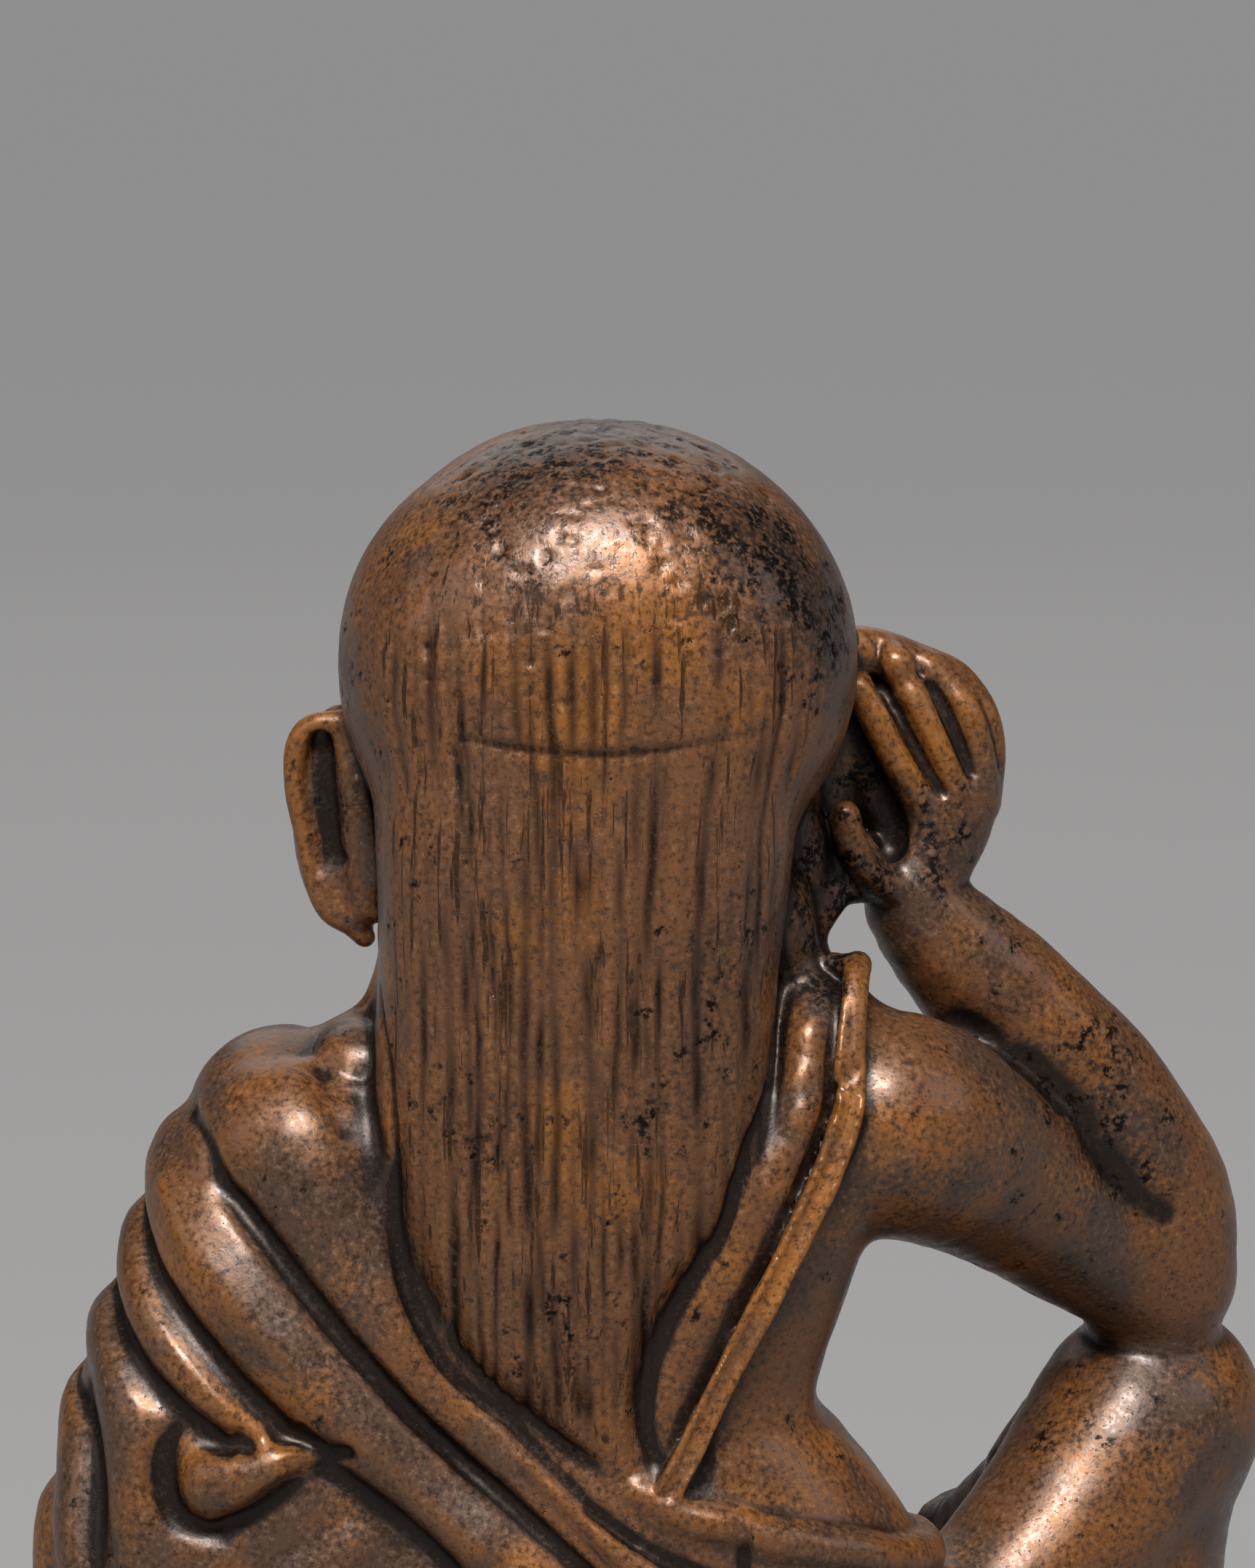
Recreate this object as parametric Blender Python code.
"""A small cast copper figure of a seated yogi who sings with his right hand at his ear, on a low lotus base.

Metres, +Z up. The figure faces -Y, so its bare right arm is on the -X side, and the origin is under the
middle of the base. The pose and the carving are shares of the figure's height: every place and radius in
the tables below is in hundredths of it, measured from the seat under the neck. The base has its own height,
petals and rim, and is as wide and as deep as the seated figure needs.
"""

import math

import bmesh
import bpy
from mathutils import Matrix, Vector
from mathutils.bvhtree import BVHTree

# Driving sizes
FIGURE_HEIGHT = 0.100
BASE_HEIGHT = 0.0125
BASE_RIM = 0.007
BASE_FOOT_HEIGHT = 0.0026
BASE_TOP_BAND = 0.0020
PETAL_BULGE = 0.0026
PETAL_NOTCH = 0.0012
PETAL_COUNT = 22
PETAL_SIDES = 5
SEAT_GAP = 0.0003

# Fineness of the cast surface, in hundredths of the figure's height
GRAIN = 0.82
SMOOTHING_PASSES = 5
KEPT_FACES = 0.07
TUBE_SIDES = 12

# The figure's spread over its knees, its reach from feet to back, and how far the point under the neck
# lies from the middle of both, in hundredths of its height
FIGURE_SPREAD = 94
FIGURE_REACH = 66
SEAT_SETBACK = 15
SEAT_SHIFT = -1

UNIT = FIGURE_HEIGHT / 100
SEAT_Z = BASE_HEIGHT + SEAT_GAP
BASE_WIDTH = FIGURE_SPREAD * UNIT + 2 * BASE_RIM
BASE_DEPTH = FIGURE_REACH * UNIT + 2 * BASE_RIM

# Torso and neck, from the seat up: height, middle x, middle y, half width, half depth
TORSO = [
    (-4, 3.0, 0.0, 27.5, 15.5),
    (8, 3.0, 0.0, 27.0, 15.0),
    (14, 3.4, 0.3, 25.2, 14.2),
    (20, 4.0, 0.5, 20.9, 13.2),
    (27, 4.5, 0.8, 17.2, 12.0),
    (36, 4.5, 0.8, 20.0, 12.2),
    (44, 4.5, 0.8, 22.0, 12.2),
    (50, 4.5, 0.6, 19.5, 10.8),
    (55, 4.5, 0.2, 12.0, 9.0),
    (60, 4.3, -0.6, 9.5, 8.8),
    (66, 4.0, -1.0, 9.5, 9.0),
]

# The robe over the left shoulder, arm and hip, in the same terms
ROBE = [
    (-4, 23.0, -2.0, 22.5, 16.0),
    (6, 23.5, -1.0, 21.5, 15.0),
    (14, 24.2, 0.2, 20.6, 13.4),
    (22, 23.8, 0.8, 19.6, 12.6),
    (32, 22.4, 0.8, 18.2, 12.2),
    (41, 21.0, 0.6, 17.0, 11.4),
    (48, 20.8, 0.2, 12.6, 10.0),
    (52.5, 22.0, -0.4, 7.4, 7.6),
]

# The long hair: height, middle x, half width, how far back it lies
HAIR = [
    (90, 3.7, 11.6, 12.4),
    (85, 3.7, 15.9, 16.0),
    (79, 3.7, 17.7, 17.4),
    (72, 4.0, 17.4, 17.5),
    (65, 4.3, 16.2, 16.9),
    (59, 4.6, 15.2, 16.3),
    (52, 4.8, 14.9, 16.3),
    (46.5, 5.1, 14.3, 16.4),
    (41, 5.0, 12.2, 16.2),
    (35.5, 4.8, 8.9, 15.8),
    (31, 4.1, 6.0, 15.4),
    (27, 3.1, 3.5, 14.9),
    (23.8, 1.6, 1.3, 14.2),
]
HAIR_ROOTS_Y = 2.0
LOCK_COUNT = 9
LOCK_DEPTH = 0.35

# Round forms of the head and body: place, three radii
ROUNDS = {
    "crown": ((3.7, -1.0, 82.0), (18.5, 18.9, 17.8)),
    "lower_face": ((3.7, -6.4, 71.5), (13.6, 13.2, 12.6)),
    "brow": ((3.7, -14.0, 81.0), (12.5, 6.6, 5.0)),
    "left_eye": ((9.2, -17.6, 77.6), (3.3, 2.4, 1.9)),
    "right_eye": ((-1.8, -17.6, 77.6), (3.3, 2.4, 1.9)),
    "left_cheek": ((10.0, -13.2, 71.5), (5.2, 5.0, 5.0)),
    "right_cheek": ((-2.6, -13.2, 71.5), (5.2, 5.0, 5.0)),
    "nose_tip": ((3.7, -20.8, 71.4), (2.3, 2.2, 1.6)),
    "upper_lip": ((3.7, -18.6, 67.2), (3.6, 1.6, 0.9)),
    "lower_lip": ((3.7, -17.9, 65.4), (3.0, 1.6, 1.0)),
    "chin": ((3.7, -13.6, 61.6), (5.0, 3.8, 3.4)),
    "left_breast": ((13.0, -8.2, 42.0), (8.0, 4.6, 6.0)),
    "right_breast": ((-4.0, -8.2, 42.0), (8.0, 4.6, 6.0)),
    "belly": ((4.0, -6.0, 24.0), (14.0, 8.4, 11.0)),
    "lap": ((0.0, -15.0, 4.0), (27.0, 20.0, 9.0)),
    "right_shoulder_cloth": ((-13.0, 0.0, 54.0), (4.6, 8.0, 5.6)),
    "right_palm": ((-21.8, -9.4, 69.0), (5.2, 2.6, 7.0)),
    "right_hand_hollow": ((-18.4, -9.8, 71.5), (4.8, 2.2, 7.6)),
    "left_palm": ((5.5, -27.5, 17.4), (5.2, 4.6, 2.4)),
    "left_ear_plate": ((22.2, -4.8, 69.0), (3.8, 1.5, 8.4)),
    "right_ear_plate": ((-13.0, -6.8, 70.6), (2.6, 1.3, 6.6)),
    "knot_of_cloth": ((31.0, 12.6, 21.6), (3.2, 2.6, 3.1)),
}

# Limbs as tapered tubes through joints: place, radius
LIMBS = {
    "right_upper_arm": [
        (-15.5, 1.0, 47.4, 7.8),
        (-18.6, 0.2, 47.4, 8.4),
        (-25.0, -6.5, 43.4, 7.6),
        (-32.4, -13.0, 37.2, 6.3),
        (-39.8, -18.4, 32.0, 5.9),
    ],
    "right_forearm": [
        (-40.2, -18.8, 32.0, 5.9),
        (-39.6, -17.4, 38.2, 6.1),
        (-33.8, -14.0, 47.4, 6.1),
        (-26.9, -11.0, 55.8, 5.7),
        (-21.0, -9.0, 62.4, 4.2),
        (-22.0, -9.0, 67.0, 4.0),
    ],
    "right_thigh": [
        (-14.0, -1.0, 2.5, 10.5),
        (-24.0, -8.0, 4.6, 9.6),
        (-33.2, -15.5, 13.2, 8.9),
        (-40.6, -21.0, 20.4, 7.6),
    ],
    "right_thigh_skirt": [
        (-18.0, -6.0, 1.5, 9.4),
        (-28.0, -13.0, 3.0, 9.2),
        (-35.0, -20.0, 6.0, 9.4),
    ],
    "right_calf_in_robe": [
        (-40.3, -21.0, 20.0, 7.6),
        (-38.2, -22.6, 11.0, 8.4),
        (-36.0, -23.5, 2.0, 9.0),
    ],
    "right_shin": [
        (-40.3, -22.0, 19.6, 7.4),
        (-33.5, -29.5, 10.5, 6.4),
        (-27.0, -34.5, 4.5, 5.0),
    ],
    "right_foot": [
        (-26.6, -34.0, 3.6, 4.4),
        (-22.4, -39.0, 2.6, 3.8),
        (-18.8, -43.0, 1.4, 3.0),
    ],
    "left_upper_arm": [
        (26.6, -1.0, 45.0, 8.6),
        (31.6, -1.0, 34.0, 9.0),
        (35.4, -2.0, 20.0, 9.2),
        (36.6, -3.0, 11.0, 9.4),
    ],
    "left_forearm_in_robe": [
        (36.6, -4.0, 13.0, 8.6),
        (29.0, -14.0, 15.5, 6.6),
        (20.0, -22.0, 17.0, 5.2),
        (11.5, -26.0, 17.2, 3.9),
        (6.0, -28.0, 17.0, 3.6),
    ],
    "left_thigh": [
        (15.0, -2.0, 7.5, 11.0),
        (28.0, -14.0, 7.0, 9.8),
        (38.0, -23.0, 5.6, 8.4),
    ],
    "left_shin": [
        (38.0, -23.0, 5.6, 8.4),
        (24.0, -33.0, 5.0, 7.2),
        (6.0, -38.0, 3.6, 5.2),
        (-6.0, -39.0, 2.8, 3.8),
        (-12.5, -38.0, 2.4, 3.0),
    ],
    "nose": [(3.7, -18.6, 80.4, 1.4), (3.7, -20.2, 75.0, 1.6), (3.7, -21.0, 71.8, 1.8)],
    "left_ear_rim": [
        (21.5, -3.2, 76.6, 1.3),
        (24.4, -3.3, 76.0, 1.3),
        (25.5, -3.4, 72.6, 1.3),
        (25.1, -3.5, 68.6, 1.4),
        (23.9, -3.5, 63.8, 1.6),
        (21.6, -3.2, 61.0, 1.7),
        (19.6, -3.0, 60.6, 1.5),
    ],
    "right_ear_rim": [
        (-12.6, -5.6, 77.0, 1.2),
        (-15.0, -6.0, 76.0, 1.2),
        (-15.6, -6.4, 72.6, 1.2),
        (-14.8, -6.6, 68.6, 1.3),
        (-13.0, -6.6, 65.2, 1.5),
        (-10.8, -6.2, 64.4, 1.4),
    ],
    "thumb": [
        (-20.0, -7.6, 64.0, 2.2),
        (-17.6, -5.4, 65.6, 1.7),
        (-15.9, -4.0, 67.8, 1.4),
        (-15.4, -3.4, 70.4, 1.2),
    ],
    "index_finger": [
        (-21.6, -8.0, 69.6, 2.0),
        (-19.2, -5.8, 74.2, 1.5),
        (-16.6, -4.4, 79.0, 1.25),
        (-15.2, -7.0, 82.4, 1.3),
    ],
    "middle_finger": [
        (-22.8, -8.6, 70.4, 2.0),
        (-21.4, -6.6, 75.2, 1.6),
        (-19.4, -6.0, 79.8, 1.5),
        (-16.8, -9.6, 83.0, 1.5),
    ],
    "ring_finger": [
        (-24.4, -9.4, 70.6, 2.0),
        (-24.3, -8.0, 75.6, 1.6),
        (-22.3, -8.4, 80.2, 1.6),
        (-17.6, -12.6, 82.8, 1.6),
    ],
    "little_finger": [
        (-25.0, -10.6, 70.2, 1.9),
        (-25.7, -10.8, 75.0, 1.6),
        (-24.0, -12.4, 79.2, 1.6),
        (-18.4, -15.6, 80.6, 1.5),
    ],
}

# Folds of the robe, hem and belt, as ridges laid on the body: place, radius
FOLDS = {
    "shoulder_fold": [
        (27.0, -9.0, 46.0, 2.6),
        (28.0, -3.0, 51.5, 4.2),
        (27.2, 5.0, 49.2, 4.4),
        (24.2, 10.0, 43.6, 3.4),
        (20.0, 12.0, 37.4, 2.6),
        (13.8, 13.0, 30.0, 2.2),
        (7.0, 13.4, 23.4, 2.0),
        (0.0, 13.6, 16.6, 2.0),
    ],
    "collar_by_hair": [
        (21.6, -4.0, 53.0, 2.0),
        (21.4, 7.0, 50.0, 2.2),
        (20.0, 11.6, 43.6, 1.8),
        (16.2, 12.4, 36.8, 1.7),
        (10.4, 13.0, 30.2, 1.6),
        (3.6, 13.2, 23.6, 1.5),
        (-3.0, 13.0, 18.0, 1.4),
    ],
    "broad_fold": [
        (33.0, -8.0, 40.0, 2.2),
        (36.0, -2.0, 44.4, 3.0),
        (33.4, 6.6, 42.6, 3.2),
        (29.6, 10.0, 36.0, 3.0),
        (24.2, 12.0, 30.2, 2.8),
        (17.6, 13.0, 24.2, 2.7),
        (10.6, 13.6, 18.6, 2.6),
        (4.0, 14.0, 12.0, 2.4),
    ],
    "third_fold": [
        (36.0, -9.0, 33.0, 1.8),
        (39.0, -2.0, 38.4, 2.4),
        (36.4, 6.0, 35.6, 2.2),
        (32.4, 9.6, 29.6, 2.0),
        (28.0, 11.6, 25.6, 1.8),
        (24.4, 12.6, 23.0, 1.4),
    ],
    "fourth_fold": [
        (38.6, -9.0, 27.0, 1.8),
        (40.8, -2.0, 32.0, 2.3),
        (38.0, 5.4, 29.2, 2.0),
        (34.6, 8.8, 25.6, 1.8),
    ],
    "curl_round_the_knot": [
        (41.0, -6.0, 24.0, 1.8),
        (40.0, 2.6, 25.4, 2.1),
        (37.8, 7.0, 20.0, 2.1),
        (36.0, 9.4, 14.6, 2.2),
        (30.6, 11.6, 13.0, 2.3),
        (24.8, 12.8, 16.6, 2.1),
        (20.6, 13.4, 20.6, 1.4),
    ],
    "outer_curl": [
        (43.0, -9.0, 18.0, 1.9),
        (43.4, -1.0, 21.6, 2.2),
        (42.6, 3.6, 14.0, 2.2),
        (39.4, 7.0, 7.0, 2.2),
        (32.0, 11.4, 4.0, 2.2),
    ],
    "low_fold": [
        (24.0, 13.0, 10.4, 2.0),
        (16.0, 14.0, 12.6, 1.9),
        (9.4, 14.4, 9.0, 1.9),
        (4.0, 14.6, 4.0, 1.8),
    ],
    "belt_over_right_shoulder": [
        (-4.0, -11.0, 42.0, 1.4),
        (-10.6, -8.0, 50.0, 1.6),
        (-15.2, -1.6, 57.6, 2.2),
        (-15.4, 5.4, 55.0, 2.0),
        (-14.0, 9.6, 49.8, 1.9),
        (-11.2, 11.8, 43.4, 1.8),
        (-7.8, 12.4, 36.2, 1.6),
        (-4.4, 12.6, 29.2, 1.5),
        (-1.6, 12.8, 23.0, 1.3),
    ],
    "belt_on_chest": [
        (-4.0, -11.0, 42.0, 1.4),
        (4.0, -13.0, 35.6, 1.4),
        (13.0, -12.0, 29.4, 1.4),
    ],
    "inner_edge_of_belt": [
        (-10.8, 2.0, 58.6, 2.2),
        (-11.2, 8.6, 51.0, 2.0),
        (-9.4, 12.0, 43.0, 1.6),
        (-6.2, 12.8, 36.0, 1.3),
    ],
    "waist_hem": [
        (-1.6, 13.4, 21.8, 1.5),
        (-6.4, 13.0, 18.6, 1.5),
        (-12.4, 11.0, 16.6, 1.7),
        (-18.6, 7.0, 15.4, 1.9),
        (-22.0, 0.0, 15.2, 1.7),
    ],
    "chest_hem": [
        (24.0, -8.0, 49.0, 2.0),
        (17.0, -11.6, 41.0, 1.8),
        (8.0, -13.4, 32.0, 1.7),
        (-3.0, -13.4, 24.6, 1.7),
        (-13.0, -10.0, 19.6, 1.7),
    ],
    "chest_fold": [
        (29.0, -9.0, 43.0, 2.0),
        (21.0, -12.0, 34.0, 1.9),
        (12.0, -14.0, 26.0, 1.8),
        (1.0, -15.0, 19.6, 1.7),
    ],
    "thigh_fold": [
        (-16.0, -16.0, 13.0, 1.7),
        (-26.0, -20.0, 15.0, 1.7),
        (-34.0, -26.0, 15.0, 1.5),
    ],
    "lap_fold": [
        (26.0, -24.0, 12.0, 1.8),
        (12.0, -32.0, 10.0, 1.8),
        (-2.0, -33.0, 8.4, 1.7),
        (-14.0, -29.0, 9.0, 1.5),
    ],
    "knee_fold": [
        (42.0, -16.0, 11.0, 1.7),
        (35.0, -30.0, 9.0, 1.8),
        (20.0, -38.0, 5.0, 1.7),
    ],
}

# The skull cup in the left hand: height and radius of its outline, turned about its own middle
CUP_PLACE = (3.4, -30.0, 17.6)
CUP_OUTLINE = [(0.0, 2.6), (1.6, 5.0), (4.0, 6.2), (6.6, 6.3), (6.6, 4.9), (3.6, 4.4), (2.4, 1.6)]


def spot(x, y, z):
    """A place in the figure, from hundredths of its height."""
    return Vector(((x + SEAT_SHIFT) * UNIT, (y + SEAT_SETBACK) * UNIT, z * UNIT + SEAT_Z))


def smoothed(points, steps):
    """Points along the smooth curve through the given rows of numbers, a Catmull-Rom spline."""
    rows = [Vector(p) for p in points]
    rows = [2 * rows[0] - rows[1], *rows, 2 * rows[-1] - rows[-2]]
    found = []
    for before, start, end, after in zip(rows, rows[1:], rows[2:], rows[3:]):
        for step in range(steps):
            t = step / steps
            found.append(
                0.5
                * (
                    2 * start
                    + (end - before) * t
                    + (2 * before - 5 * start + 4 * end - after) * t**2
                    + (3 * start - before - 3 * end + after) * t**3
                )
            )
    return [*found, rows[-2]]


def bridge(mesh, first, second):
    """Closes the band between two rings that have the same number of points."""
    count = len(first)
    for i in range(count):
        j = (i + 1) % count
        mesh.faces.new((first[i], first[j], second[j], second[i]))


def close_rings(mesh, rings):
    """Joins rings of places into one closed skin, with a flat cap at each end."""
    made = [[mesh.verts.new(place) for place in ring] for ring in rings]
    for first, second in zip(made, made[1:]):
        bridge(mesh, first, second)
    mesh.faces.new(list(reversed(made[0])))
    mesh.faces.new(made[-1])


def add_tube(mesh, path):
    """A tapered round tube with rounded ends, through places with a radius each."""
    centres = [centre for centre, _ in path]
    rings = []
    across = (centres[1] - centres[0]).orthogonal().normalized()
    for i, (centre, radius) in enumerate(path):
        along = (centres[min(i + 1, len(path) - 1)] - centres[max(i - 1, 0)]).normalized()
        across = (across - across.dot(along) * along).normalized()
        side = along.cross(across)
        stations = [(0.0, 1.0)]
        if i == 0:
            stations = [(-0.95, 0.3), (-0.7, 0.7), (0.0, 1.0)]
        if i == len(path) - 1:
            stations = [(0.0, 1.0), (0.7, 0.7), (0.95, 0.3)]
        for ahead, share in stations:
            middle = centre + along * (ahead * radius)
            turns = [2 * math.pi * k / TUBE_SIDES for k in range(TUBE_SIDES)]
            rings.append(
                [middle + share * radius * (across * math.cos(a) + side * math.sin(a)) for a in turns]
            )
    close_rings(mesh, rings)


def add_limb(mesh, joints, steps=4):
    """A limb or a fold that bends smoothly through its joints."""
    path = smoothed(joints, steps)
    add_tube(mesh, [(spot(x, y, z), radius * UNIT) for x, y, z, radius in path])


def add_round(mesh, place, radii):
    """An egg-like form with the three radii given."""
    size = Matrix.Diagonal((*(radius * UNIT for radius in radii), 1))
    matrix = Matrix.Translation(spot(*place)) @ size
    bmesh.ops.create_icosphere(mesh, subdivisions=3, radius=1, matrix=matrix)


def add_trunk(mesh, levels, squareness=2.5, sides=28):
    """A body built up from level cross sections, each an oval a little squarer than an ellipse."""
    rings = []
    for z, middle_x, middle_y, half_width, half_depth in smoothed(levels, 3):
        ring = []
        for k in range(sides):
            a = 2 * math.pi * k / sides
            x = math.copysign(abs(math.cos(a)) ** (2 / squareness), math.cos(a))
            y = math.copysign(abs(math.sin(a)) ** (2 / squareness), math.sin(a))
            ring.append(spot(middle_x + half_width * x, middle_y + half_depth * y, z))
        rings.append(ring)
    close_rings(mesh, rings)


def add_hair(mesh, sides=72):
    """The hair: level cross sections that hang from the crown to a point between the shoulder blades."""
    rings = []
    for z, middle_x, half_width, back in smoothed(HAIR, 4):
        ring = []
        half_depth = back - HAIR_ROOTS_Y
        for k in range(sides):
            a = 2 * math.pi * k / sides
            x = math.copysign(abs(math.cos(a)) ** 0.86, math.cos(a))
            y = math.sin(a) * (abs(math.sin(a)) ** -0.3 if abs(math.sin(a)) > 0.05 else 1)
            y = y if y > 0 else 0.25 * y
            locks = LOCK_DEPTH * math.cos(math.pi * LOCK_COUNT * x) * max(y, 0)
            ring.append(spot(middle_x + half_width * x, HAIR_ROOTS_Y + half_depth * y + locks, z))
        rings.append(ring)
    close_rings(mesh, rings)


def add_cup(mesh, sides=20):
    """The cup, a turned shell that is open at the top."""
    middle = spot(*CUP_PLACE)
    rings = []
    for height, radius in CUP_OUTLINE:
        turns = [2 * math.pi * k / sides for k in range(sides)]
        rings.append(
            [
                middle + UNIT * Vector((radius * math.cos(a), radius * math.sin(a), height))
                for a in turns
            ]
        )
    close_rings(mesh, rings)


def core_of_figure():
    """The body without its folds, as separate closed shapes that overlap."""
    mesh = bmesh.new()
    add_trunk(mesh, TORSO)
    add_trunk(mesh, ROBE)
    add_hair(mesh)
    for place, radii in ROUNDS.values():
        add_round(mesh, place, radii)
    for joints in LIMBS.values():
        add_limb(mesh, joints)
    return mesh


def object_from(mesh, name):
    """A scene object that holds the given shape."""
    data = bpy.data.meshes.new(name)
    mesh.to_mesh(data)
    made = bpy.data.objects.new(name, data)
    bpy.context.scene.collection.objects.link(made)
    return made


def fuse(made):
    """Makes overlapping shapes one skin, and eases the joins as a wax model's are."""
    melt = made.modifiers.new("melt", "REMESH")
    melt.mode = "VOXEL"
    melt.voxel_size = GRAIN * UNIT
    ease = made.modifiers.new("ease", "SMOOTH")
    ease.factor = 0.5
    ease.iterations = SMOOTHING_PASSES


def skin_of(mesh):
    """A searchable copy of the fused skin, for laying folds on."""
    helper = object_from(mesh, "core_helper")
    fuse(helper)
    graph = bpy.context.evaluated_depsgraph_get()
    skin = BVHTree.FromObject(helper, graph)
    bpy.data.objects.remove(helper)
    return skin


def add_fold(mesh, skin, joints):
    """A ridge of cloth: a tube whose middle runs just under the skin, so that half of it stands proud."""
    laid = []
    for x, y, z, radius in smoothed(joints, 4):
        surface, outwards, _, _ = skin.find_nearest(spot(x, y, z))
        laid.append((surface - outwards * (0.35 * radius * UNIT), radius * UNIT))
    add_tube(mesh, laid)


def flat_seat():
    """The block below the seat that trims the figure's underside flat."""
    mesh = bmesh.new()
    depth = FIGURE_HEIGHT / 4
    middle = Vector((0, 0, SEAT_Z - depth / 2))
    size = Matrix.Diagonal((2 * FIGURE_HEIGHT, 2 * FIGURE_HEIGHT, depth, 1))
    bmesh.ops.create_cube(mesh, size=1, matrix=Matrix.Translation(middle) @ size)
    block = object_from(mesh, "seat_cutter")
    block.hide_render = True
    block.display_type = "WIRE"
    return block


def build_figure(copper):
    """The whole cast figure: body, hair, robe, belt and cup in one piece."""
    mesh = core_of_figure()
    skin = skin_of(mesh)
    for joints in FOLDS.values():
        add_fold(mesh, skin, joints)
    add_cup(mesh)
    figure = object_from(mesh, "figure")
    figure.data.materials.append(copper)
    fuse(figure)
    thin = figure.modifiers.new("thin", "DECIMATE")
    thin.ratio = KEPT_FACES
    trim = figure.modifiers.new("trim", "BOOLEAN")
    trim.operation = "DIFFERENCE"
    trim.solver = "EXACT"
    trim.object = flat_seat()
    return figure


def base_ring(height, inset, bulge, notch_share):
    """One level outline of the base: a rounded oval whose rim swells into petals by bulge."""
    steps = PETAL_COUNT * PETAL_SIDES
    ring = []
    for k in range(steps):
        a = 2 * math.pi * (k + 0.5) / steps
        petal = abs(math.cos(a * PETAL_COUNT / 2))
        swell = bulge * math.sqrt(petal) - PETAL_NOTCH * notch_share * (1 - petal) ** 2
        x = math.copysign(abs(math.cos(a)) ** 0.9, math.cos(a))
        y = math.copysign(abs(math.sin(a)) ** 0.9, math.sin(a))
        half_width = BASE_WIDTH / 2 - inset - PETAL_BULGE + swell
        half_depth = BASE_DEPTH / 2 - inset - PETAL_BULGE + swell
        ring.append(Vector((half_width * x, half_depth * y, height)))
    return ring


def build_base(copper):
    """The low lotus base: a foot band, one row of petals that point up and outwards, and a top band."""
    petals_end = BASE_HEIGHT - BASE_TOP_BAND
    petal_height = petals_end - BASE_FOOT_HEIGHT
    levels = [
        (0.0, 0.0, PETAL_BULGE * 0.5, 0.0),
        (BASE_FOOT_HEIGHT * 0.85, 0.0, PETAL_BULGE * 0.5, 0.0),
        (BASE_FOOT_HEIGHT, PETAL_BULGE * 0.6, 0.0, 0.0),
        (BASE_FOOT_HEIGHT + petal_height * 0.12, PETAL_BULGE * 0.6, PETAL_BULGE * 0.7, 1.0),
        (BASE_FOOT_HEIGHT + petal_height * 0.45, 0.0, PETAL_BULGE, 1.0),
        (BASE_FOOT_HEIGHT + petal_height * 0.8, PETAL_BULGE * 0.5, PETAL_BULGE, 1.0),
        (petals_end, PETAL_BULGE, PETAL_BULGE * 0.5, 0.5),
        (petals_end + BASE_TOP_BAND * 0.1, PETAL_BULGE * 1.2, 0.0, 0.0),
        (BASE_HEIGHT, PETAL_BULGE * 1.3, 0.0, 0.0),
    ]
    mesh = bmesh.new()
    close_rings(mesh, [base_ring(*level) for level in levels])
    bmesh.ops.recalc_face_normals(mesh, faces=mesh.faces)
    base = object_from(mesh, "lotus_base")
    base.data.materials.append(copper)
    return base


def copper_finish():
    """Brown patinated copper, rubbed brighter on its high places."""
    copper = bpy.data.materials.new("patinated_copper")
    copper.use_nodes = True
    shader = copper.node_tree.nodes["Principled BSDF"]
    shader.inputs["Base Color"].default_value = (0.20, 0.085, 0.035, 1)
    shader.inputs["Metallic"].default_value = 0.75
    shader.inputs["Roughness"].default_value = 0.42
    return copper


def main():
    """Clears the scene and builds the figure on its base."""
    for old in list(bpy.data.objects):
        bpy.data.objects.remove(old)
    copper = copper_finish()
    build_figure(copper)
    build_base(copper)


main()
